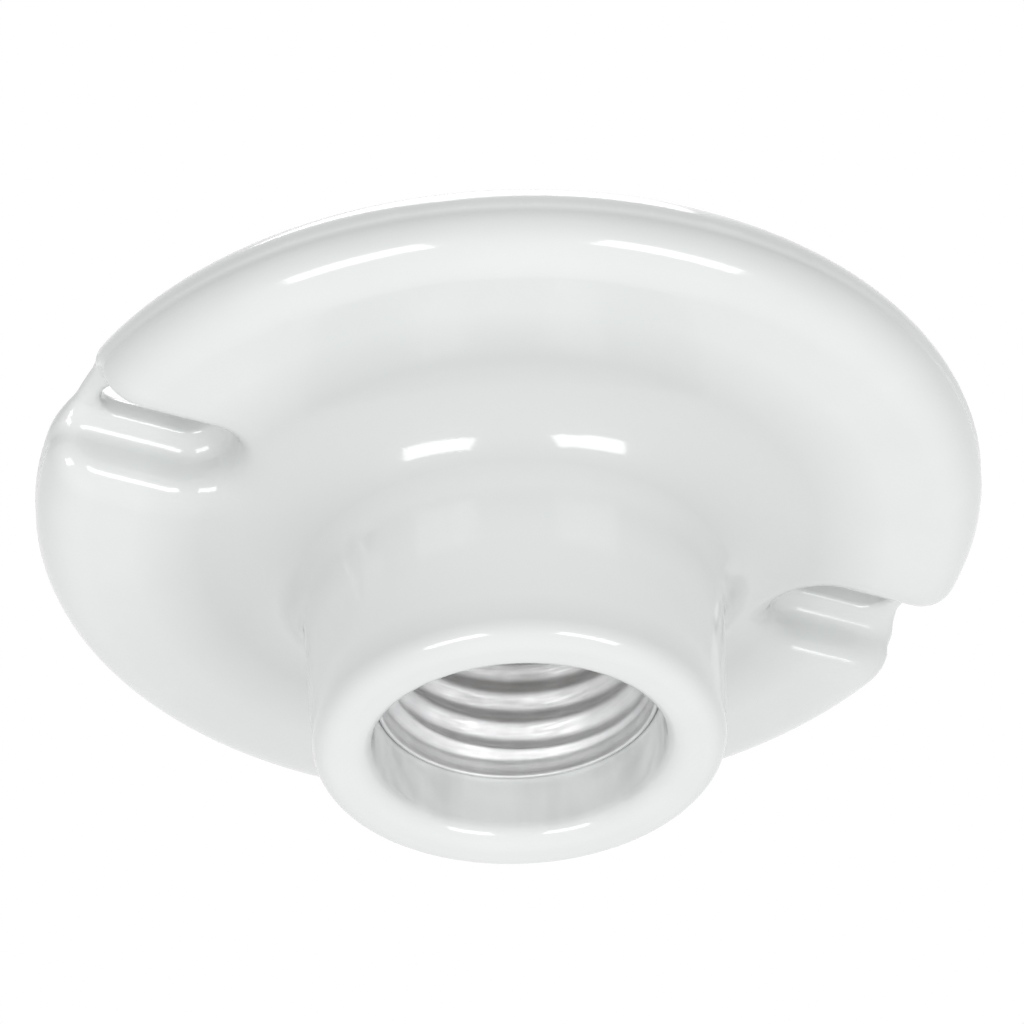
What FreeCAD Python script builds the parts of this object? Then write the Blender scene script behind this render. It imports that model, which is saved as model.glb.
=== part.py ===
import FreeCAD, Part
import math
import os
import Sketcher
from FreeCAD import Vector

# Ceiling lamp holder of glazed porcelain with a screw shell for a medium lamp base.
# The origin is the centre of the flange's back plane, which meets the outlet box.
# +Z points up into the box, and the mouth for the lamp points down.
# The two box screw slots lie along X. Sizes are in millimetres and degrees.

# Flange
flange_dia = 95.25
rim_band = 2.4
rim_step = 1.0
rim_front_radius = 0.8
rim_back_radius = 1.2
roll_land = 0.2
crest_depth = 11.0
crest_inner_dia = 66.0
crest_blend_radius = 12.0
valley_depth = 7.6

# Neck and mouth
neck_wall = 5.9
neck_draft = 1.0
neck_root_radius = 5.0
neck_end_radius = 3.0
height_below = 34.7
mouth_lip_radius = 2.7

# Boss behind the mounting plane and the cavity for the terminals
boss_root_dia = 44.0
boss_root_radius = 1.5
boss_end_dia = 42.0
boss_height = 15.0
boss_edge_radius = 1.2
cavity_dia = 35.0
cavity_floor = 5.0
socket_floor = 1.5

# Hollows in the back of the flange, one on each side of the slots
hollow_inner_dia = 48.0
hollow_mid_dia = 65.0
hollow_outer_dia = 78.0
hollow_inner_depth = 3.0
hollow_outer_depth = 5.8
hollow_angle = 140.0

# Troughs for the box screws' heads and the slots in their floors
screw_spacing = 69.85
trough_width = 7.8
trough_taper = 12.0
trough_edge_radius = 1.5
slot_width = 4.8
slot_travel = 6.6

# Island under the centre contact
island_end_gap = 2.3
island_width = 8.0
island_height = 1.5
island_gap = 0.7

# Screw shell
shell_clearance = 0.05
shell_length = 25.4
shell_sheet = 0.4
shell_corner_radius = 1.4
thread_inner_dia = 24.2
thread_depth = 1.55
thread_round = 0.8
thread_pitch = 3.629
thread_lead_in = 1.6
thread_turns = 6

# Rivets
rivet_clearance = 0.1
shell_rivet_inset = 3.5
shell_rivet_dia = 3.2
shell_rivet_head_dia = 4.8
shell_rivet_head_height = 1.0
contact_rivet_inset = 3.3
contact_rivet_dia = 2.4
contact_rivet_head_dia = 3.8
contact_rivet_head_height = 0.8

# Spring leaf and centre contact button
leaf_width = 5.6
leaf_thickness = 0.5
leaf_end_gap = 1.0
leaf_root_length = 4.6
leaf_bend = 1.9
leaf_tip = 3.0
leaf_rise = 2.2
leaf_bend_radius = 0.4
button_dia = 6.0
button_height = 1.3
button_stem_dia = 2.4
button_clinch_dia = 3.4
button_clinch_height = 0.6

# Terminals
terminal_x = 9.5
terminal_y = 9.0
strap_width = 6.4
strap_thickness = 0.9
screw_dia = 4.16
screw_clearance = 0.05
screw_head_dia = 7.8
screw_head_height = 1.9
screw_head_gap = 0.3
screw_length = 5.0
screw_tip_chamfer = 0.5
driver_slot_width = 1.1
driver_slot_depth = 1.0
well_dia = 5.4
well_depth = 4.6
wire_notch_width = 7.0
wire_notch_depth = 7.0

doc = FreeCAD.newDocument("LampHolder")
sheet = doc.addObject("Spreadsheet::Sheet", "Sizes")
sizes = {name: number for name, number in list(globals().items()) if type(number) in (int, float)}
for row, (name, number) in enumerate(sizes.items(), 1):
    sheet.set(f"A{row}", name)
    sheet.set(f"B{row}", str(number))
    sheet.setAlias(f"B{row}", name)
doc.recompute()


def value(text):
    """Evaluate an expression written in the sheet's names."""
    return float(sheet.evalExpression(text))


def bound(text):
    """Turn an expression in bare size names into one that reads the sheet."""
    words = []
    for word in text.replace("(", " ( ").replace(")", " ) ").split():
        words.append(f"Sizes.{word}" if word in sizes else word)
    return " ".join(words)


# Places that several pieces share
bore = "( thread_inner_dia / 2 + thread_depth + shell_sheet + shell_clearance )"
neck_end = f"( {bore} + neck_wall )"
neck_root = f"( {neck_end} + neck_draft )"
shell_rivet_y = "( thread_inner_dia / 2 - shell_rivet_inset )"
island_end = "( thread_inner_dia / 2 - island_end_gap )"
contact_rivet_x = f"( {island_end} - contact_rivet_inset )"
leaf_root_end = f"( {island_end} - leaf_end_gap )"


def new_body(label):
    """Start a sub-part that is modelled by features."""
    body = doc.addObject("PartDesign::Body", label)
    body.Label = label
    return body


def new_sketch(body, name, role, height="0"):
    """Attach a sketch to one of the body's own origin planes, lifted by height."""
    sketch = body.newObject("Sketcher::SketchObject", name)
    plane = next(item for item in body.Origin.OriginFeatures if item.Role == role)
    sketch.AttachmentSupport = [(plane, "")]
    sketch.MapMode = "FlatFace"
    sketch.setExpression("AttachmentOffset.Base.z", bound(height))
    return sketch


def fix_point(sketch, geometry, which, x_text, y_text):
    """Tie a point of the sketch to the origin by two driven distances."""
    for kind, text in (("DistanceX", x_text), ("DistanceY", y_text)):
        expression = bound(text)
        number = sketch.addConstraint(
            Sketcher.Constraint(kind, -1, 1, geometry, which, value(expression)))
        sketch.setExpression(f"Constraints[{number}]", expression)


def fix_radius(sketch, geometry, text):
    """Drive the radius of an arc or a circle."""
    expression = bound(text)
    number = sketch.addConstraint(Sketcher.Constraint("Radius", geometry, value(expression)))
    sketch.setExpression(f"Constraints[{number}]", expression)


def outline_sketch(body, name, role, corners, height="0"):
    """Draw a closed outline of straight lines through driven corners."""
    sketch = new_sketch(body, name, role, height)
    points = [Vector(value(bound(x)), value(bound(y)), 0) for x, y in corners]
    count = len(points)
    for index in range(count):
        sketch.addGeometry(Part.LineSegment(points[index], points[(index + 1) % count]), False)
    for index in range(count):
        following = (index + 1) % count
        sketch.addConstraint(Sketcher.Constraint("Coincident", index, 2, following, 1))
    for index, (x, y) in enumerate(corners):
        fix_point(sketch, index, 1, x, y)
    return sketch


def circle_sketch(body, name, circles, height="0"):
    """Draw circles, each given by its centre and its radius."""
    sketch = new_sketch(body, name, "XY_Plane", height)
    for index, (x, y, radius) in enumerate(circles):
        centre = Vector(value(bound(x)), value(bound(y)), 0)
        sketch.addGeometry(Part.Circle(centre, Vector(0, 0, 1), value(bound(radius))), False)
        fix_point(sketch, index, 3, x, y)
        fix_radius(sketch, index, radius)
    return sketch


def slot_sketch(body, name, first, second, radius, height="0"):
    """Draw a round-ended slot between two centres."""
    sketch = new_sketch(body, name, "XY_Plane", height)
    start = Vector(value(bound(first[0])), value(bound(first[1])), 0)
    end = Vector(value(bound(second[0])), value(bound(second[1])), 0)
    reach = value(bound(radius))
    heading = math.atan2(end.y - start.y, end.x - start.x)
    side = Vector(-math.sin(heading), math.cos(heading), 0) * reach
    up = Vector(0, 0, 1)
    quarter = math.pi / 2
    near = Part.ArcOfCircle(Part.Circle(start, up, reach), heading + quarter, heading + 3 * quarter)
    far = Part.ArcOfCircle(Part.Circle(end, up, reach), heading - quarter, heading + quarter)
    sketch.addGeometry(near, False)
    sketch.addGeometry(Part.LineSegment(start - side, end - side), False)
    sketch.addGeometry(far, False)
    sketch.addGeometry(Part.LineSegment(end + side, start + side), False)
    sketch.addConstraint(Sketcher.Constraint("Tangent", 0, 2, 1, 1))
    sketch.addConstraint(Sketcher.Constraint("Tangent", 1, 2, 2, 1))
    sketch.addConstraint(Sketcher.Constraint("Tangent", 2, 2, 3, 1))
    sketch.addConstraint(Sketcher.Constraint("Tangent", 3, 2, 0, 1))
    fix_radius(sketch, 0, radius)
    fix_point(sketch, 0, 3, *first)
    fix_point(sketch, 2, 3, *second)
    return sketch


def revolve(body, name, sketch, kind="Revolution", angle="360"):
    """Turn a half section about the Z axis, as a solid or as a groove."""
    feature = body.newObject(f"PartDesign::{kind}", name)
    feature.Profile = sketch
    feature.ReferenceAxis = (sketch, ["V_Axis"])
    feature.Midplane = True
    feature.setExpression("Angle", bound(angle))
    return feature


def extrude(body, name, sketch, kind, length, downward, taper=None):
    """Pad or pocket a sketch by a driven length, up or down."""
    feature = body.newObject(f"PartDesign::{kind}", name)
    feature.Profile = sketch
    feature.setExpression("Length", bound(length))
    feature.Reversed = downward if kind == "Pad" else not downward
    if taper:
        feature.setExpression("TaperAngle", bound(taper))
    return feature


def cut_through(body, name, sketch):
    """Pocket a sketch through everything, both ways."""
    feature = body.newObject("PartDesign::Pocket", name)
    feature.Profile = sketch
    feature.Type = "ThroughAll"
    feature.Midplane = True
    return feature


def copies_around(body, name, feature, count):
    """Repeat a feature evenly about the Z axis."""
    pattern = body.newObject("PartDesign::PolarPattern", name)
    pattern.Originals = [feature]
    axis = next(item for item in body.Origin.OriginFeatures if item.Role == "Z_Axis")
    pattern.Axis = (axis, [""])
    pattern.Angle = 360
    pattern.Occurrences = count
    body.Tip = pattern
    return pattern


def is_ring(edge, radius, height):
    """Say whether an edge is a circle about the Z axis of this radius and height."""
    if not isinstance(edge.Curve, Part.Circle):
        return False
    centre = edge.Curve.Center
    on_axis = math.hypot(centre.x, centre.y) < 0.001
    return on_axis and abs(edge.Curve.Radius - radius) < 0.001 and abs(centre.z - height) < 0.001


def round_rings(body, name, radius, rings):
    """Fillet the circular edges given by radius and height."""
    doc.recompute()
    base = body.Tip
    places = [(value(bound(ring)), value(bound(height))) for ring, height in rings]
    edges = [f"Edge{number}" for number, edge in enumerate(base.Shape.Edges, 1)
             if any(is_ring(edge, *place) for place in places)]
    return fillet(body, name, radius, base, edges)


def fillet(body, name, radius, base, edges):
    """Fillet named edges of the base feature."""
    feature = body.newObject("PartDesign::Fillet", name)
    feature.Base = (base, edges)
    feature.setExpression("Radius", bound(radius))
    return feature


def porcelain_body():
    """Flange, neck, boss and island, fired in one piece."""
    body = new_body("porcelain_body")
    section = outline_sketch(body, "PorcelainSection", "XZ_Plane", [
        ("0", "0 - socket_floor"),
        (bore, "0 - socket_floor"),
        (bore, "0 - height_below"),
        (neck_end, "0 - height_below"),
        (neck_root, "0 - valley_depth"),
        ("crest_inner_dia / 2", "0 - crest_depth"),
        ("flange_dia / 2 - rim_step", "0 - crest_depth"),
        ("flange_dia / 2 - rim_step", "0 - rim_band"),
        ("flange_dia / 2", "0 - rim_band"),
        ("flange_dia / 2", "0"),
        ("boss_root_dia / 2", "0"),
        ("boss_end_dia / 2", "boss_height"),
        ("cavity_dia / 2", "boss_height"),
        ("cavity_dia / 2", "cavity_floor"),
        ("0", "cavity_floor"),
    ])
    revolve(body, "PorcelainTurned", section)
    round_rings(body, "Roll", "crest_depth - rim_band - roll_land",
                [("flange_dia / 2 - rim_step", "0 - crest_depth")])
    round_rings(body, "CrestBlend", "crest_blend_radius", [("crest_inner_dia / 2", "0 - crest_depth")])
    round_rings(body, "NeckRoot", "neck_root_radius", [(neck_root, "0 - valley_depth")])
    round_rings(body, "NeckEnd", "neck_end_radius", [(neck_end, "0 - height_below")])
    round_rings(body, "MouthLip", "mouth_lip_radius", [(bore, "0 - height_below")])
    round_rings(body, "BossRoot", "boss_root_radius", [("boss_root_dia / 2", "0")])
    round_rings(body, "BossEdges", "boss_edge_radius",
                [("boss_end_dia / 2", "boss_height"), ("cavity_dia / 2", "boss_height")])

    hollow = outline_sketch(body, "HollowSection", "YZ_Plane", [
        ("hollow_inner_dia / 2", "1"),
        ("hollow_inner_dia / 2", "0 - hollow_inner_depth"),
        ("hollow_mid_dia / 2", "0 - hollow_outer_depth"),
        ("hollow_outer_dia / 2", "0 - hollow_outer_depth"),
        ("hollow_outer_dia / 2", "1"),
    ])
    groove = revolve(body, "Hollow", hollow, "Groove", "hollow_angle")
    copies_around(body, "Hollows", groove, 2)

    trough = slot_sketch(body, "TroughOutline",
                         ("screw_spacing / 2", "0"), ("flange_dia / 2 + trough_width", "0"),
                         "trough_width / 2", "0 - rim_band")
    cut = extrude(body, "Trough", trough, "Pocket", "crest_depth", True, "trough_taper")
    copies_around(body, "Troughs", cut, 2)
    round_trough_rims(body)

    slot = slot_sketch(body, "ScrewSlotOutline", ("screw_spacing / 2", "0"),
                       ("screw_spacing / 2 + slot_travel", "0"), "slot_width / 2")
    cut = extrude(body, "ScrewSlot", slot, "Pocket", "rim_band", True)
    copies_around(body, "ScrewSlots", cut, 2)

    island = slot_sketch(body, "IslandOutline",
                         (f"island_width / 2 - {island_end}", "0"),
                         (f"{island_end} - island_width / 2", "0"),
                         "island_width / 2", "0 - socket_floor")
    extrude(body, "Island", island, "Pad", "island_height", True)

    holes = circle_sketch(body, "RivetHoleCircles", [
        ("0", shell_rivet_y, "shell_rivet_dia / 2 + rivet_clearance"),
        ("0", f"0 - {shell_rivet_y}", "shell_rivet_dia / 2 + rivet_clearance"),
        (contact_rivet_x, "0", "contact_rivet_dia / 2 + rivet_clearance"),
    ])
    cut_through(body, "RivetHoles", holes)
    wells = circle_sketch(body, "WellCircles", [
        ("terminal_x", "terminal_y", "well_dia / 2"),
        ("0 - terminal_x", "0 - terminal_y", "well_dia / 2"),
    ], "cavity_floor")
    extrude(body, "Wells", wells, "Pocket", "well_depth", True)
    notch = outline_sketch(body, "WireNotchOutline", "XY_Plane", [
        ("terminal_x", "terminal_y - wire_notch_width / 2"),
        ("boss_root_dia / 2 + 1", "terminal_y - wire_notch_width / 2"),
        ("boss_root_dia / 2 + 1", "terminal_y + wire_notch_width / 2"),
        ("terminal_x", "terminal_y + wire_notch_width / 2"),
    ], "boss_height")
    cut = extrude(body, "WireNotch", notch, "Pocket", "wire_notch_depth", True)
    copies_around(body, "WireNotches", cut, 2)
    round_rings(body, "RimFront", "rim_front_radius", [("flange_dia / 2", "0 - rim_band")])
    round_rings(body, "RimBack", "rim_back_radius", [("flange_dia / 2", "0")])
    return body


def round_trough_rims(body):
    """Round the edges where the troughs break the glazed face."""
    doc.recompute()
    base = body.Tip
    centre = value(bound("screw_spacing / 2"))
    floor = -value(bound("rim_band"))
    walls = []
    for face in base.Shape.Faces:
        box = face.BoundBox
        beside = box.ZMax < floor + 0.01 and box.YLength < centre and abs(box.Center.x) > centre / 2
        surface = face.Surface
        round_end = isinstance(surface, Part.Cone) and abs(abs(surface.Center.x) - centre) < 0.01
        straight = isinstance(surface, Part.Plane) and abs(surface.Axis.y) > 0.9
        if beside and (round_end or straight):
            walls.append(face)
    codes = [edge.hashCode() for face in walls for edge in face.Edges]
    edges = []
    for number, edge in enumerate(base.Shape.Edges, 1):
        on_floor = abs(edge.BoundBox.ZMax - floor) < 0.01 and edge.BoundBox.ZLength < 0.01
        if codes.count(edge.hashCode()) == 1 and not on_floor:
            edges.append(f"Edge{number}")
    return fillet(body, "TroughRims", "trough_edge_radius", base, edges)


def screw_shell():
    """Rolled sheet shell: flared mouth, thread ribs in the wall and a flat drawn bottom."""
    body = new_body("screw_shell")
    bottom = "0 - socket_floor"
    mouth = f"{bottom} - shell_length"
    low = "thread_inner_dia / 2"
    high = f"{low} + thread_depth"
    wall = [(f"{high} - shell_clearance", mouth)]
    for half_turn in range(2 * int(value("Sizes.thread_turns")) + 1):
        height = f"{mouth} + thread_lead_in + thread_pitch * {half_turn} / 2"
        wall.append((high if half_turn % 2 else low, height))
    outside = [(f"{radius} + shell_sheet", height) for radius, height in wall]
    corners = [("0", bottom), ("0", f"{bottom} - shell_sheet"), (low, f"{bottom} - shell_sheet")]
    corners += reversed(wall)
    corners += outside
    corners.append((f"{low} + shell_sheet", bottom))
    section = outline_sketch(body, "ShellSection", "XZ_Plane", corners)
    revolve(body, "ShellTurned", section)
    round_rings(body, "ShellRibs", "thread_round", wall[1:] + outside[1:])
    round_rings(body, "ShellCorner", "shell_corner_radius", [(f"{low} + shell_sheet", bottom)])

    window = slot_sketch(body, "IslandWindow",
                         (f"island_width / 2 - {island_end}", "0"),
                         (f"{island_end} - island_width / 2", "0"),
                         "island_width / 2 + island_gap", bottom)
    extrude(body, "Window", window, "Pocket", "shell_sheet * 2", True)
    holes = circle_sketch(body, "ShellRivetCircles", [
        ("0", shell_rivet_y, "shell_rivet_dia / 2 + rivet_clearance"),
        ("0", f"0 - {shell_rivet_y}", "shell_rivet_dia / 2 + rivet_clearance"),
    ])
    cut_through(body, "ShellRivetHoles", holes)
    return body


def contact_leaf():
    """Spring strip, flat on the island at one end and raised under the button."""
    body = new_body("contact_leaf")
    base = "0 - socket_floor - island_height"
    low = f"{base} - leaf_thickness"
    side = outline_sketch(body, "LeafSection", "XZ_Plane", [
        (leaf_root_end, base),
        (f"{leaf_root_end} - leaf_root_length", base),
        ("leaf_bend", f"{base} - leaf_rise"),
        ("0 - leaf_tip", f"{base} - leaf_rise"),
        ("0 - leaf_tip", f"{low} - leaf_rise"),
        ("leaf_bend + leaf_thickness / 2", f"{low} - leaf_rise"),
        (f"{leaf_root_end} - leaf_root_length + leaf_thickness / 2", low),
        (leaf_root_end, low),
    ])
    strip = body.newObject("PartDesign::Pad", "LeafStrip")
    strip.Profile = side
    strip.Midplane = True
    strip.setExpression("Length", bound("leaf_width"))
    holes = circle_sketch(body, "LeafHoleCircles", [
        (contact_rivet_x, "0", "contact_rivet_dia / 2 + rivet_clearance"),
        ("0", "0", "button_stem_dia / 2"),
    ])
    cut_through(body, "LeafHoles", holes)
    doc.recompute()
    base_feature = body.Tip
    bends = [f"Edge{number}" for number, edge in enumerate(base_feature.Shape.Edges, 1)
             if edge.BoundBox.YLength > value("Sizes.leaf_width") - 0.01
             and 0 < edge.BoundBox.XMin < value(bound(leaf_root_end)) - 0.01]
    fillet(body, "LeafBends", "leaf_bend_radius", base_feature, bends)
    return body


def contact_button():
    """Centre contact, clinched in the raised end of the leaf."""
    body = new_body("contact_button")
    seat = "0 - socket_floor - island_height - leaf_rise"
    under = f"{seat} - leaf_thickness"
    section = outline_sketch(body, "ButtonSection", "XZ_Plane", [
        ("0", f"{under} - button_height"),
        ("button_dia / 2", f"{under} - button_height"),
        ("button_dia / 2", under),
        ("button_stem_dia / 2", under),
        ("button_stem_dia / 2", seat),
        ("button_clinch_dia / 2", seat),
        ("button_clinch_dia / 2", f"{seat} + button_clinch_height"),
        ("0", f"{seat} + button_clinch_height"),
    ])
    revolve(body, "ButtonTurned", section)
    round_rings(body, "ButtonCrown", "button_height * 0.8", [("button_dia / 2", f"{under} - button_height")])
    return body


def rivet(label, x, y, shank, head, head_height, lower_seat, upper_seat):
    """Rivet along Z: a round head below the lower seat and a clinched head above the upper seat."""
    body = new_body(label)
    section = outline_sketch(body, f"{label}_section", "XZ_Plane", [
        ("0", f"{lower_seat} - {head_height}"),
        (f"{head} / 2", f"{lower_seat} - {head_height}"),
        (f"{head} / 2", lower_seat),
        (f"{shank} / 2", lower_seat),
        (f"{shank} / 2", upper_seat),
        (f"{head} / 2", upper_seat),
        (f"{head} / 2", f"{upper_seat} + {head_height}"),
        ("0", f"{upper_seat} + {head_height}"),
    ])
    revolve(body, f"{label}_turned", section)
    round_rings(body, f"{label}_crowns", f"{head_height} * 0.7",
                [(f"{head} / 2", f"{lower_seat} - {head_height}"),
                 (f"{head} / 2", f"{upper_seat} + {head_height}")])
    body.setExpression("Placement.Base.x", bound(x))
    body.setExpression("Placement.Base.y", bound(y))
    return body


def strap(label, rivet_x, rivet_y, rivet_shank, screw_x, screw_y):
    """Flat terminal strap from its rivet to its tapped hole."""
    body = new_body(label)
    outline = slot_sketch(body, f"{label}_outline", (rivet_x, rivet_y), (screw_x, screw_y),
                          "strap_width / 2", "cavity_floor")
    extrude(body, f"{label}_plate", outline, "Pad", "strap_thickness", False)
    holes = circle_sketch(body, f"{label}_hole_circles", [
        (rivet_x, rivet_y, f"{rivet_shank} / 2 + rivet_clearance"),
        (screw_x, screw_y, "screw_dia / 2 + screw_clearance"),
    ])
    cut_through(body, f"{label}_holes", holes)
    return body


def terminal_screw(label, x, y):
    """Binding screw with a slotted head, its axis along Z."""
    body = new_body(label)
    seat = "cavity_floor + strap_thickness + screw_head_gap"
    tip = f"{seat} - screw_length"
    section = outline_sketch(body, f"{label}_section", "XZ_Plane", [
        ("0", tip),
        ("screw_dia / 2 - screw_tip_chamfer", tip),
        ("screw_dia / 2", f"{tip} + screw_tip_chamfer"),
        ("screw_dia / 2", seat),
        ("screw_head_dia / 2", seat),
        ("screw_head_dia / 2", f"{seat} + screw_head_height"),
        ("0", f"{seat} + screw_head_height"),
    ])
    revolve(body, f"{label}_turned", section)
    round_rings(body, f"{label}_crown", "screw_head_height * 0.6",
                [("screw_head_dia / 2", f"{seat} + screw_head_height")])
    groove = outline_sketch(body, f"{label}_driver_outline", "XY_Plane", [
        ("0 - screw_head_dia", "0 - driver_slot_width / 2"),
        ("screw_head_dia", "0 - driver_slot_width / 2"),
        ("screw_head_dia", "driver_slot_width / 2"),
        ("0 - screw_head_dia", "driver_slot_width / 2"),
    ], f"{seat} + screw_head_height")
    extrude(body, f"{label}_driver_slot", groove, "Pocket", "driver_slot_depth", True)
    body.setExpression("Placement.Base.x", bound(x))
    body.setExpression("Placement.Base.y", bound(y))
    return body


shell_seat = "0 - socket_floor - shell_sheet"
leaf_seat = "0 - socket_floor - island_height - leaf_thickness"
strap_top = "cavity_floor + strap_thickness"
shell_rivet_sizes = ("shell_rivet_dia", "shell_rivet_head_dia", "shell_rivet_head_height")
contact_rivet_sizes = ("contact_rivet_dia", "contact_rivet_head_dia", "contact_rivet_head_height")

nodes = [
    porcelain_body(),
    screw_shell(),
    contact_leaf(),
    contact_button(),
    rivet("shell_rivet_neutral", "0", f"0 - {shell_rivet_y}", *shell_rivet_sizes, shell_seat, strap_top),
    rivet("shell_rivet_plain", "0", shell_rivet_y, *shell_rivet_sizes, shell_seat, "cavity_floor"),
    rivet("contact_rivet", contact_rivet_x, "0", *contact_rivet_sizes, leaf_seat, strap_top),
    strap("hot_strap", contact_rivet_x, "0", "contact_rivet_dia", "terminal_x", "terminal_y"),
    strap("neutral_strap", "0", f"0 - {shell_rivet_y}", "shell_rivet_dia",
          "0 - terminal_x", "0 - terminal_y"),
    terminal_screw("hot_screw", "terminal_x", "terminal_y"),
    terminal_screw("neutral_screw", "0 - terminal_x", "0 - terminal_y"),
]

doc.recompute()
for item in doc.Objects:
    if "Invalid" in item.State or "Error" in item.State:
        raise RuntimeError(f"{item.Label} failed: {item.State}")
for node in nodes:
    shape = node.Shape
    if shape.isNull() or not shape.isValid():
        raise RuntimeError(f"{node.Label} has no valid shape")
    if len(shape.Solids) != 1:
        raise RuntimeError(f"{node.Label} has {len(shape.Solids)} solids")

os.makedirs("parts", exist_ok=True)
for node in nodes:
    node.Shape.exportStep(f"parts/{node.Label}.step")
    print(node.Label, round(node.Shape.Volume, 2))
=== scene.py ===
import math

import bpy
import numpy as np
from mathutils import Matrix, Vector


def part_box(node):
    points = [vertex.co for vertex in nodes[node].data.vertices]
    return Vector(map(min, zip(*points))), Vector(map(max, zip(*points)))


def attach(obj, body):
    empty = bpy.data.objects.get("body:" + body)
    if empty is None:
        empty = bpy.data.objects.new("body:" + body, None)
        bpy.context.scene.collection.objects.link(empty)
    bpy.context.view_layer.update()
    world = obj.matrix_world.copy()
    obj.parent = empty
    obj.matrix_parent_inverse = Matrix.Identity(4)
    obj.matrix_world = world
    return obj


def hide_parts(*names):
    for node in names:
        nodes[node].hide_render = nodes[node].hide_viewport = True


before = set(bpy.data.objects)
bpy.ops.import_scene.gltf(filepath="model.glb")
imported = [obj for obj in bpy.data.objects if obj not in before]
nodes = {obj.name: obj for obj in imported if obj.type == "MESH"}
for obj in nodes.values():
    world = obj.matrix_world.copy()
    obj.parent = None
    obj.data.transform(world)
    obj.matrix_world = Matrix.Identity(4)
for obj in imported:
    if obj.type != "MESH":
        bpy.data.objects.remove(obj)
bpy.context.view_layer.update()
MM = 0.001


# Camera and light


def place_camera():
    """Camera below and in front of the holder, which is seen as it hangs."""
    azimuth = math.radians(-27)
    below = math.radians(37.08)
    roll = math.radians(-2.59)
    distance = 568.6 * MM
    target = Vector((0, 0, -1.2 * MM))
    away = Vector((math.sin(azimuth) * math.cos(below),
                   -math.cos(azimuth) * math.cos(below),
                   -math.sin(below)))
    ahead = -away
    right = ahead.cross(Vector((0, 0, 1))).normalized()
    up = right.cross(ahead)
    right, up = (right * math.cos(roll) + up * math.sin(roll),
                 up * math.cos(roll) - right * math.sin(roll))
    axes = Matrix((right, up, -ahead)).transposed()
    focal_px = 5634.6
    frame_px = 1024
    target_px = Vector((508.34, 489.37))
    seen = Vector((target_px.x - frame_px / 2, frame_px / 2 - target_px.y, -focal_px))
    turn = Vector((0, 0, -1)).rotation_difference(seen)
    rotation = axes @ turn.to_matrix().transposed()
    data = bpy.data.cameras.new("camera")
    data.sensor_width = 36
    data.lens = focal_px / frame_px * data.sensor_width
    camera = bpy.data.objects.new("camera", data)
    camera.matrix_world = Matrix.Translation(target + away * distance) @ rotation.to_4x4()
    bpy.context.scene.collection.objects.link(camera)
    bpy.context.scene.camera = camera
    return azimuth


def soft_box(name, azimuth, elevation, distance, width, height, power):
    """Area lamp aimed at the holder, its place given round the Z axis."""
    around = math.radians(azimuth)
    rise = math.radians(elevation)
    place = Vector((math.sin(around) * math.cos(rise),
                    -math.cos(around) * math.cos(rise),
                    math.sin(rise))) * distance
    data = bpy.data.lights.new(name, "AREA")
    data.shape = "RECTANGLE"
    data.size = width
    data.size_y = height
    data.energy = power
    lamp = bpy.data.objects.new(name, data)
    lamp.location = place
    lamp.rotation_euler = (-place).to_track_quat("-Z", "Y").to_euler()
    bpy.context.scene.collection.objects.link(lamp)


def light_the_set(view_azimuth):
    """Two soft lamps below, one above for the terminal side, and the room."""
    facing = math.degrees(view_azimuth)
    lamp_distance = 1.3
    key_rise, key_width, key_height, key_power = -37, 0.66, 0.30, 3.25
    for name, aside in (("key_left", -34), ("key_right", 42)):
        soft_box(name, facing + aside, key_rise, lamp_distance, key_width, key_height, key_power)
    top_side, top_power = 0.9, 10
    soft_box("terminal_side", 0, 90, lamp_distance, top_side, top_side, top_power)
    build_room()


def build_room():
    """World that lights the holder from below and is plain white to the camera and in gloss."""
    world = bpy.data.worlds.new("studio")
    bpy.context.scene.world = world
    world.use_nodes = True
    tree = world.node_tree
    tree.nodes.clear()
    link = tree.links.new
    direction = tree.nodes.new("ShaderNodeTexCoord").outputs["Generated"]
    rise_below, rise_above = -0.3, 0.25
    strength_below, strength_above = 0.9, 0.2
    room = tree.nodes.new("ShaderNodeBackground")
    room.inputs["Color"].default_value = (0.975, 0.99, 0.985, 1)
    link(scaled(tree, height_of(tree, direction), rise_below, rise_above,
                strength_below, strength_above), room.inputs["Strength"])
    white = tree.nodes.new("ShaderNodeBackground")
    white.inputs["Color"].default_value = (1, 1, 1, 1)
    path = tree.nodes.new("ShaderNodeLightPath").outputs
    seen = combined(tree, "MAXIMUM", path["Is Camera Ray"], path["Is Transmission Ray"])
    seen = combined(tree, "MAXIMUM", seen, path["Is Glossy Ray"])
    mix = tree.nodes.new("ShaderNodeMixShader")
    out = tree.nodes.new("ShaderNodeOutputWorld")
    link(seen, mix.inputs["Fac"])
    link(room.outputs[0], mix.inputs[1])
    link(white.outputs[0], mix.inputs[2])
    link(mix.outputs[0], out.inputs["Surface"])


# Materials, all in the object's own coordinates, which are metres


def new_material(name):
    material = bpy.data.materials.new(name)
    material.use_nodes = True
    shader = material.node_tree.nodes["Principled BSDF"]
    return material, material.node_tree, shader


def combined(tree, operation, first, second):
    """Two values joined by a Math node."""
    node = tree.nodes.new("ShaderNodeMath")
    node.operation = operation
    tree.links.new(first, node.inputs[0])
    tree.links.new(second, node.inputs[1])
    return node.outputs[0]


def height_of(tree, place):
    parts = tree.nodes.new("ShaderNodeSeparateXYZ")
    tree.links.new(place, parts.inputs[0])
    return parts.outputs["Z"]


def radius_of(tree, place):
    """Distance of a place from the Z axis."""
    flat = tree.nodes.new("ShaderNodeVectorMath")
    flat.operation = "MULTIPLY"
    flat.inputs[1].default_value = (1, 1, 0)
    reach = tree.nodes.new("ShaderNodeVectorMath")
    reach.operation = "LENGTH"
    tree.links.new(place, flat.inputs[0])
    tree.links.new(flat.outputs["Vector"], reach.inputs[0])
    return reach.outputs["Value"]


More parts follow.
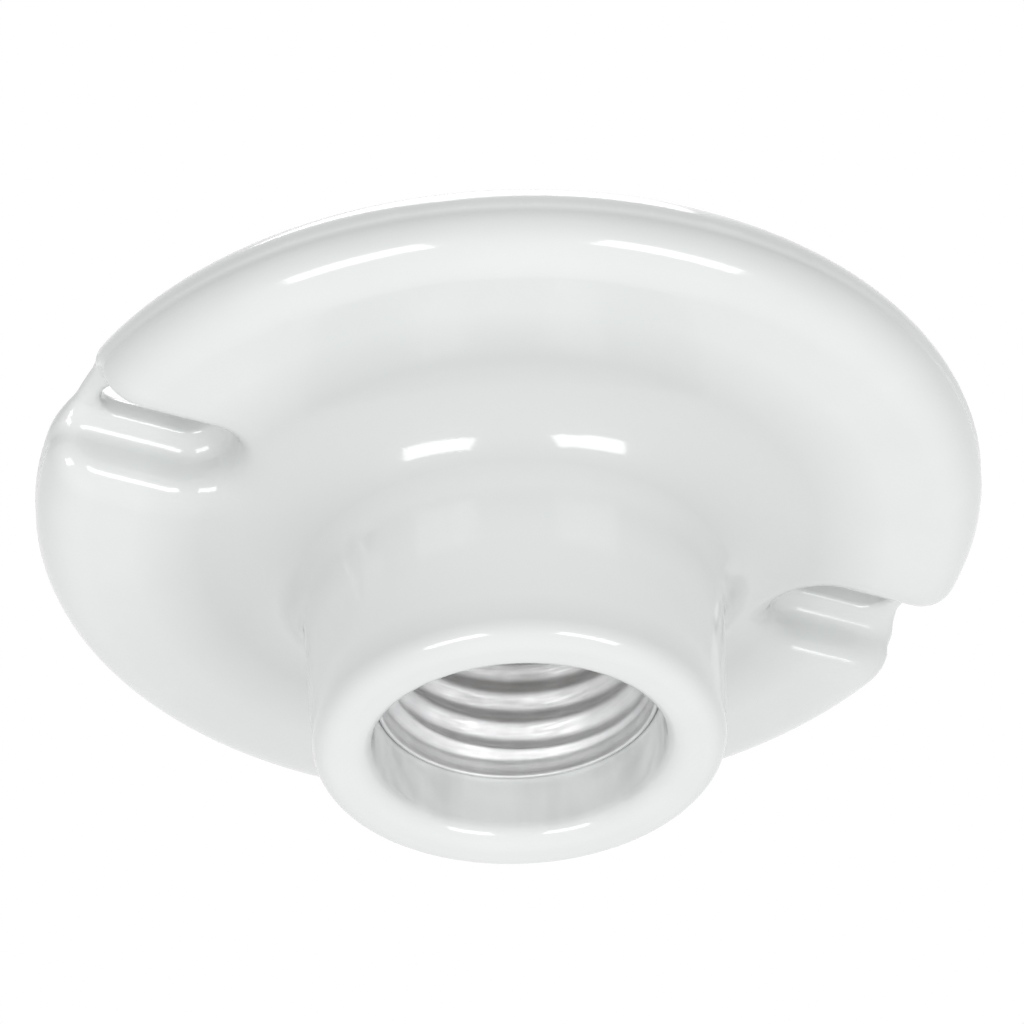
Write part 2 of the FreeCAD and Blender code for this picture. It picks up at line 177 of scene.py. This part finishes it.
def noise(tree, scale, detail=3.0, stretch=(1, 1, 1)):
    place = tree.nodes.new("ShaderNodeTexCoord")
    mapping = tree.nodes.new("ShaderNodeMapping")
    mapping.inputs["Scale"].default_value = stretch
    texture = tree.nodes.new("ShaderNodeTexNoise")
    texture.inputs["Scale"].default_value = scale
    texture.inputs["Detail"].default_value = detail
    tree.links.new(place.outputs["Object"], mapping.inputs["Vector"])
    tree.links.new(mapping.outputs["Vector"], texture.inputs["Vector"])
    return texture.outputs["Fac"]


def ramp(tree, source, low, high, first, second):
    """Map a value from low..high onto a blend of two colours."""
    node = tree.nodes.new("ShaderNodeValToRGB")
    node.color_ramp.elements[0].position = low
    node.color_ramp.elements[1].position = high
    node.color_ramp.elements[0].color = (*first, 1)
    node.color_ramp.elements[1].color = (*second, 1)
    tree.links.new(source, node.inputs["Fac"])
    return node.outputs["Color"]


def scaled(tree, source, low, high, first, second):
    """Map a value from low..high onto first..second, and no further."""
    node = tree.nodes.new("ShaderNodeMapRange")
    node.inputs["From Min"].default_value = low
    node.inputs["From Max"].default_value = high
    node.inputs["To Min"].default_value = first
    node.inputs["To Max"].default_value = second
    tree.links.new(source, node.inputs["Value"])
    return node.outputs["Result"]


def tinted(tree, base, share, colour):
    """Base colour with another one mixed in by a share from 0 to 1."""
    node = tree.nodes.new("ShaderNodeMix")
    node.data_type = "RGBA"
    node.inputs["B"].default_value = (*colour, 1)
    tree.links.new(share, node.inputs["Factor"])
    tree.links.new(base, node.inputs["A"])
    return node.outputs["Result"]


def add_bump(tree, shader, source, distance, strength):
    bump = tree.nodes.new("ShaderNodeBump")
    bump.inputs["Distance"].default_value = distance
    bump.inputs["Strength"].default_value = strength
    tree.links.new(source, bump.inputs["Height"])
    tree.links.new(bump.outputs["Normal"], shader.inputs["Normal"])


def porcelain_material():
    """White body under a clear, uneven glaze, with painted light making the neck paler and
    painted shade darkening the ring round its root.
    """
    material, tree, shader = new_material("porcelain_glazed")
    place = tree.nodes.new("ShaderNodeTexCoord").outputs["Object"]
    radius = radius_of(tree, place)
    height = height_of(tree, place)
    # Painted light: the neck's wall is tinted paler to stand in for light it catches.
    neck_painted_light = combined(tree, "MULTIPLY",
                       scaled(tree, height, -22 * MM, -15 * MM, 1, 0),
                       scaled(tree, height, -33 * MM, -29 * MM, 0, 1))
    # Painted shade: the ring round the neck's root is tinted darker where shade falls.
    root_painted_shade = combined(tree, "MULTIPLY",
                         scaled(tree, radius, 38 * MM, 31 * MM, 0, 1),
                         scaled(tree, radius, 20.8 * MM, 21.8 * MM, 0, 1))
    streaks = noise(tree, 170, 3, (1, 1, 0.25))
    bore_smudge = combined(tree, "MULTIPLY",
                           scaled(tree, radius, 14.9 * MM, 14.5 * MM, 0, 1),
                           scaled(tree, streaks, 0.42, 0.62, 0, 0.38))
    colour = ramp(tree, noise(tree, 60, 4), 0.35, 0.7,
                  (0.715, 0.73, 0.722), (0.745, 0.757, 0.75))
    # Painted light on the neck.
    colour = tinted(tree, colour, neck_painted_light, (0.80, 0.815, 0.807))
    # Painted shade round the neck's root.
    colour = tinted(tree, colour, root_painted_shade, (0.635, 0.648, 0.642))
    colour = tinted(tree, colour, bore_smudge, (0.56, 0.575, 0.57))
    tree.links.new(colour, shader.inputs["Base Color"])
    shader.inputs["Roughness"].default_value = 0.45
    shader.inputs["Coat Weight"].default_value = 1.0
    shader.inputs["Coat Roughness"].default_value = 0.09
    shader.inputs["Coat IOR"].default_value = 1.6
    add_bump(tree, shader, noise(tree, 140, 2), 0.12 * MM, 0.6)
    return material


def metal_material(name, bright, dark, roughness, grain_scale, grain_stretch, tarnish_scale):
    """Metal with a worked grain and a soft change of tone."""
    material, tree, shader = new_material(name)
    shader.inputs["Metallic"].default_value = 1.0
    colour = ramp(tree, noise(tree, tarnish_scale, 4), 0.35, 0.7, dark, bright)
    tree.links.new(colour, shader.inputs["Base Color"])
    grain = noise(tree, grain_scale, 3, grain_stretch)
    rough = scaled(tree, grain, 0.3, 0.7, roughness * 0.85, roughness * 1.2)
    tree.links.new(rough, shader.inputs["Roughness"])
    add_bump(tree, shader, grain, 0.02 * MM, 0.5)
    return material


# Distances in millimetres, negative inside the material, and the mesh on their zero surface


def rounded_section(corners):
    """Closed outline in radius and height, its corners rounded by points 3 degrees apart."""
    outline = []
    for index, (r, z, radius) in enumerate(corners):
        here = np.array((r, z), float)
        back = np.array(corners[index - 1][:2], float) - here
        ahead = np.array(corners[(index + 1) % len(corners)][:2], float) - here
        if radius == 0:
            outline.append(here)
            continue
        back /= np.linalg.norm(back)
        ahead /= np.linalg.norm(ahead)
        half = math.acos(float(np.clip(back @ ahead, -1, 1))) / 2
        middle = (back + ahead) / np.linalg.norm(back + ahead)
        centre = here + middle * radius / math.sin(half)
        start = here + back * radius / math.tan(half) - centre
        sweep = math.pi - 2 * half
        side = np.sign(start[0] * (-middle[1]) - start[1] * (-middle[0]))
        steps = max(4, round(math.degrees(sweep) / 3))
        for step in range(steps + 1):
            turn = side * sweep * step / steps
            spoke = (start[0] * math.cos(turn) - start[1] * math.sin(turn),
                     start[0] * math.sin(turn) + start[1] * math.cos(turn))
            outline.append(centre + np.array(spoke))
    return np.array(outline)


def section_distance(outline, step):
    """Reader for a table of distances to a turned section."""
    radii = np.arange(-0.4, 49.5, step)
    heights = np.arange(-36.5, 17.5, step)
    r, z = np.meshgrid(radii, heights, indexing="ij")
    nearest = np.full(r.shape, 1e9)
    inside = np.zeros(r.shape, bool)
    for first, last in zip(outline, np.roll(outline, -1, 0)):
        along = last - first
        share = ((r - first[0]) * along[0] + (z - first[1]) * along[1]) / (along @ along)
        share = np.clip(share, 0, 1)
        nearest = np.minimum(nearest, (r - first[0] - share * along[0]) ** 2
                             + (z - first[1] - share * along[1]) ** 2)
        if first[1] != last[1]:
            crosses = (first[1] > z) != (last[1] > z)
            inside ^= crosses & (r < first[0] + along[0] * (z - first[1]) / along[1])
    table = np.sqrt(nearest) * np.where(inside, -1, 1)

    def read(radius, height):
        a = np.clip((radius - radii[0]) / step, 0, len(radii) - 1.001)
        b = np.clip((height - heights[0]) / step, 0, len(heights) - 1.001)
        i = a.astype(int)
        j = b.astype(int)
        a = a - i
        b = b - j
        return ((table[i, j] * (1 - a) + table[i + 1, j] * a) * (1 - b)
                + (table[i, j + 1] * (1 - a) + table[i + 1, j + 1] * a) * b)

    return read


def soft_max(first, second, reach):
    """Greater of two distances, with their edge rounded over the reach."""
    blend = np.maximum(reach - np.abs(first - second), 0) / reach
    return np.maximum(first, second) + blend * blend * reach / 4


def soft_cut(solid, tool, reach):
    """Take a tool away from a solid, with the edge rounded over the reach."""
    return soft_max(solid, -tool, reach)


def stadium(x, y, first, last, radius):
    """Distance in plan to a round-ended slot along X."""
    return np.hypot(x - np.clip(x, first, last), y) - radius


def porcelain_distance():
    """Distance to the fired body, as a function of x, y and z."""
    # Radius, height and rounding of each corner, from the socket's floor by the neck, the
    # rim and the back boss to the floor of the terminal cavity.
    turned = section_distance(rounded_section([
        (-0.4, -1.5, 0), (14.1, -1.5, 0.3), (14.1, -27, 0), (14.6, -34.1, 2.3),
        (20.2, -34.1, 2.3), (21.2, -8.7, 9.5), (47.5, -8.8, 4.9), (47.6, 0, 3.4),
        (22, 0, 1.5), (21, 15, 1.2), (17.5, 15, 1.2), (17.5, 5, 0.3), (-0.4, 5, 0)]), 0.1)
    rim_line_radius, rim_line_height, rim_line_width = 47.85, -4.0, 0.32
    taper = math.radians(10)
    trough_floor, trough_half_width, trough_round = -2.5, 4.3, 2.2
    slot_start, slot_end, slot_half_width, past_the_rim = 34.925, 41.525, 2.4, 60
    hollow_end = math.radians(70)
    hollow_inner, hollow_outer = 24, 39
    hollow_depth, hollow_gain, hollow_slope_width = 3, 2.8, 8.5
    island_reach, island_half_width, island_top, island_root = 5.8, 4, -3.0, -1.2
    rivet_holes = (((0, 8.6), 1.7), ((0, -8.6), 1.7), ((6.5, 0), 1.3))
    terminal_x, terminal_y, well_radius, well_floor = 9.5, 9, 2.7, 0.4
    notch_half_width, notch_floor = 3.5, 8
    # Reach over which each edge is rounded.
    rim_line_edge, trough_edge, slot_edge = 0.7, 3.4, 0.8
    hollow_edge, hollow_corner = 1.2, 1.6
    rivet_hole_edge, well_edge, notch_edge = 0.3, 0.5, 0.9

    def distance(x, y, z):
        r = np.hypot(x, y)
        out = np.abs(x)
        rim_line = np.hypot(r - rim_line_radius, z - rim_line_height) - rim_line_width
        solid = soft_cut(turned(r, z), rim_line, rim_line_edge)

        wall = (stadium(out, y, slot_start, past_the_rim, trough_half_width) * math.cos(taper)
                - (trough_floor - z) * math.sin(taper))
        high = z - trough_floor + trough_round
        wide = wall + trough_round
        trough = (np.minimum(np.maximum(wide, high), 0)
                  + np.hypot(np.maximum(wide, 0), np.maximum(high, 0)) - trough_round)
        solid = soft_cut(solid, trough, trough_edge)
        slot = stadium(out, y, slot_start, slot_end, slot_half_width)
        solid = soft_cut(solid, slot, slot_edge)

        slope = np.clip((r - hollow_inner) / hollow_slope_width, 0, 1)
        bottom = -hollow_depth - hollow_gain * slope
        side = out * math.cos(hollow_end) - np.abs(y) * math.sin(hollow_end)
        ring = np.maximum(hollow_inner - r, r - hollow_outer)
        hollow = soft_max(soft_max(ring, side, hollow_corner), bottom - z, hollow_corner)
        solid = soft_cut(solid, hollow, hollow_edge)

        island = np.maximum(stadium(x, y, -island_reach, island_reach, island_half_width),
                            np.maximum(island_top - z, z - island_root))
        solid = np.minimum(solid, island)
        for place, radius in rivet_holes:
            hole = np.hypot(x - place[0], y - place[1]) - radius
            solid = soft_cut(solid, hole, rivet_hole_edge)

        for turn in (1, -1):
            well = np.maximum(np.hypot(turn * x - terminal_x, turn * y - terminal_y)
                              - well_radius, well_floor - z)
            notch = np.maximum(np.maximum(terminal_x - turn * x,
                                          np.abs(turn * y - terminal_y) - notch_half_width),
                               notch_floor - z)
            solid = soft_cut(soft_cut(solid, well, well_edge), notch, notch_edge)
        return solid

    return distance


def slopes(distance, points, reach=0.2):
    """Direction in which the distance grows, from differences over the reach."""
    parts = []
    for axis in range(3):
        offset = np.zeros(3)
        offset[axis] = reach
        parts.append(distance(*(points + offset).T) - distance(*(points - offset).T))
    slope = np.stack(parts, -1)
    return slope / np.maximum(np.linalg.norm(slope, axis=1), 1e-9)[:, None]


def surface_cells(inside):
    """Cells that the surface crosses, and the number of each, or -1, on the grid of cells."""
    counts = [n - 1 for n in inside.shape]
    filled = sum(inside[tuple(slice(c, c + n) for c, n in zip(corner, counts))].astype(int)
                 for corner in np.ndindex(2, 2, 2))
    mixed = (filled > 0) & (filled < 8)
    number = np.full(mixed.shape, -1)
    number[mixed] = np.arange(mixed.sum())
    return np.argwhere(mixed), number


def cell_points(field, cells):
    """Mean place, in cells, at which the surface cuts the edges of each cell."""
    total = np.zeros((len(cells), 3))
    hits = np.zeros(len(cells))
    for first in np.ndindex(2, 2, 2):
        for axis in range(3):
            if first[axis]:
                continue
            last = tuple(1 if n == axis else c for n, c in enumerate(first))
            a = field[tuple((cells + first).T)]
            b = field[tuple((cells + last).T)]
            cut = (a < 0) != (b < 0)
            share = np.where(cut, a / np.where(cut, a - b, 1), 0)
            place = np.array(first, float) + np.zeros((len(cells), 3))
            place[:, axis] += share
            total += np.where(cut[:, None], place, 0)
            hits += cut
    return cells + total / hits[:, None]


def cell_faces(inside, number):
    """A quad round each grid edge that the surface cuts, facing out."""
    faces = []
    for axis in range(3):
        near = [slice(None)] * 3
        far = [slice(None)] * 3
        near[axis] = slice(0, -1)
        far[axis] = slice(1, None)
        flips = inside[tuple(near)] != inside[tuple(far)]
        places = np.argwhere(flips)
        starts = inside[tuple(near)][flips]
        second, third = (axis + 1) % 3, (axis + 2) % 3
        ring = []
        for a, b in ((0, 0), (1, 0), (1, 1), (0, 1)):
            cell = places.copy()
            cell[:, second] -= a
            cell[:, third] -= b
            ring.append(number[tuple(cell.T)])
        ring = np.stack(ring, -1)
        ring[~starts] = ring[~starts][:, ::-1]
        faces.append(ring)
    return np.concatenate(faces)


def skin(distance, low, high, step):
    """Closed quad mesh on the zero surface of a distance, with its outward normals."""
    axes = [np.arange(a, b + step, step) for a, b in zip(low, high)]
    field = distance(*np.meshgrid(*axes, indexing="ij"))
    inside = field < 0
    cells, number = surface_cells(inside)
    points = np.array(low) + cell_points(field, cells) * step
    for _ in range(3):
        points -= slopes(distance, points, 0.05) * distance(*points.T)[:, None]
    return points, cell_faces(inside, number), slopes(distance, points)


# Pieces that replace CAD nodes


def smooth(mesh):
    for polygon in mesh.polygons:
        polygon.use_smooth = True


def porcelain_skin(material):
    """Glazed body with the soft rim, neck root and troughs of the fired piece."""
    low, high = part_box("porcelain_body")
    margin = 0.45
    grid_step = 0.6
    points, faces, normals = skin(porcelain_distance(), [v / MM - margin for v in low],
                                  [v / MM + margin for v in high], grid_step)
    mesh = bpy.data.meshes.new("porcelain_fired")
    mesh.from_pydata((points * MM).tolist(), [], faces.tolist())
    smooth(mesh)
    mesh.normals_split_custom_set_from_vertices(normals.tolist())
    mesh.materials.append(material)
    piece = bpy.data.objects.new("porcelain_fired", mesh)
    bpy.context.scene.collection.objects.link(piece)
    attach(piece, "holder")
    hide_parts("porcelain_body")


def ease(value, first, last):
    """Smooth step from 0 at first to 1 at last."""
    share = min(max((value - first) / (last - first), 0.0), 1.0)
    return share * share * (3 - 2 * share)


def shell_wall(low, high, sheet, minor, corner, around):
    """Mesh of the shell's wall: bead, right-hand lamp thread and bent corner."""
    pitch = 3.629 * MM
    major = 13.4 * MM
    bead = high.x - sheet
    mouth = low.z
    bottom = high.z
    start = mouth + 1.6 * MM
    end = bottom - 3.3 * MM
    fade = 1.4 * MM
    bead_end = mouth + 0.5 * MM

    def inner_radius(turn, height):
        strength = ease(height, start, start + fade) * (1 - ease(height, end - fade, end))
        wave = -math.cos(2 * math.pi * height / pitch - turn)
        middle = (minor + major) / 2
        plain = major + (bead - major) * (1 - ease(height, bead_end, start))
        plain += (minor - major) * ease(height, end - fade, end)
        return plain * (1 - strength) + (middle + (major - minor) / 2 * wave) * strength

    tube_end = bottom - corner
    rows_a_turn = 20
    rows = round((tube_end - mouth) / pitch * rows_a_turn)
    heights = [mouth + (tube_end - mouth) * row / rows for row in range(rows + 1)]
    bends = [math.pi / 2 * step / 6 for step in range(1, 7)]
    vertices = []
    for place in range(around):
        turn = 2 * math.pi * place / around
        line = []
        for bend in reversed(bends):
            reach = corner - sheet
            line.append((minor - reach * (1 - math.cos(bend)), tube_end + reach * math.sin(bend)))
        line += [(inner_radius(turn, height), height) for height in reversed(heights)]
        line.append((bead + sheet * 0.25, mouth - sheet * 0.3))
        line.append((bead + sheet * 0.75, mouth - sheet * 0.3))
        line += [(inner_radius(turn, height) + sheet, height) for height in heights]
        for bend in bends:
            line.append((minor + sheet - corner * (1 - math.cos(bend)),
                         tube_end + corner * math.sin(bend)))
        vertices += [(r * math.cos(turn), r * math.sin(turn), z) for r, z in line]
    count = len(vertices) // around
    faces = []
    for place in range(around):
        following = (place + 1) % around
        for step in range(count - 1):
            faces.append((place * count + step, place * count + step + 1,
                          following * count + step + 1, following * count + step))
    mesh = bpy.data.meshes.new("screw_shell_threaded")
    mesh.from_pydata(vertices, [], faces)
    smooth(mesh)
    return mesh


def shell_bottom(height, sheet, radius, around):
    """Mesh of the shell's flat bottom, with its window and the holes for both rivets."""
    curve = bpy.data.curves.new("shell_bottom", "CURVE")
    curve.dimensions = "2D"
    curve.fill_mode = "BOTH"
    curve.extrude = sheet / 2

    def outline(places):
        spline = curve.splines.new("POLY")
        spline.points.add(len(places) - 1)
        for point, (x, y) in zip(spline.points, places):
            point.co = (x, y, 0, 1)
        spline.use_cyclic_u = True

    def circle(x, y, radius, steps):
        turns = [2 * math.pi * step / steps for step in range(steps)]
        return [(x + radius * math.cos(turn), y + radius * math.sin(turn)) for turn in turns]

    outline(circle(0, 0, radius, around))
    window_half_width = 4.7 * MM
    window_reach = 5.8 * MM
    turns = [math.pi * (step / 16 - 0.5) for step in range(17)]
    window = [(window_reach + window_half_width * math.cos(turn),
               window_half_width * math.sin(turn)) for turn in turns]
    window += [(-x, -y) for x, y in window]
    outline(window)
    for side in (-1, 1):
        outline(circle(0, side * 8.6 * MM, 1.7 * MM, 32))
    flat = bpy.data.objects.new("shell_bottom", curve)
    mesh = bpy.data.meshes.new_from_object(flat)
    bpy.data.objects.remove(flat)
    mesh.transform(Matrix.Translation((0, 0, height)))
    return mesh


def screw_shell(material):
    """Rolled aluminium shell with its true lamp thread, in place of the turned solid."""
    low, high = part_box("screw_shell")
    sheet = 0.4 * MM
    minor = 12.35 * MM
    corner = 1.4 * MM
    overlap = 0.05 * MM
    around = 144
    wall = shell_wall(low, high, sheet, minor, corner, around)
    shell = bpy.data.objects.new("screw_shell_threaded", wall)
    flat = shell_bottom(high.z - sheet / 2, sheet, minor + sheet - corner + overlap, around)
    plate = bpy.data.objects.new("screw_shell_bottom", flat)
    for piece in (shell, plate):
        bpy.context.scene.collection.objects.link(piece)
        piece.data.materials.clear()
        piece.data.materials.append(material)
        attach(piece, "holder")
        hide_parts("screw_shell")


def dress(names, material):
    for name in names:
        data = nodes[name].data
        data.materials.clear()
        data.materials.append(material)


bpy.context.scene.view_settings.view_transform = "Standard"
light_the_set(place_camera())
porcelain = porcelain_material()
aluminium = metal_material("aluminium_rolled", (0.86, 0.86, 0.865), (0.75, 0.75, 0.755),
                           0.6, 400, (1, 1, 12), 300)
brass = metal_material("brass_plain", (0.80, 0.62, 0.30), (0.66, 0.48, 0.22),
                       0.3, 900, (1, 1, 1), 250)
nickel = metal_material("nickel_plated", (0.74, 0.73, 0.70), (0.62, 0.61, 0.58),
                        0.28, 900, (1, 1, 1), 250)
dress(["porcelain_body"], porcelain)
dress(["contact_leaf", "contact_button", "contact_rivet", "hot_strap", "hot_screw"], brass)
dress(["shell_rivet_neutral", "shell_rivet_plain", "neutral_strap", "neutral_screw"], nickel)
porcelain_skin(porcelain)
screw_shell(aluminium)
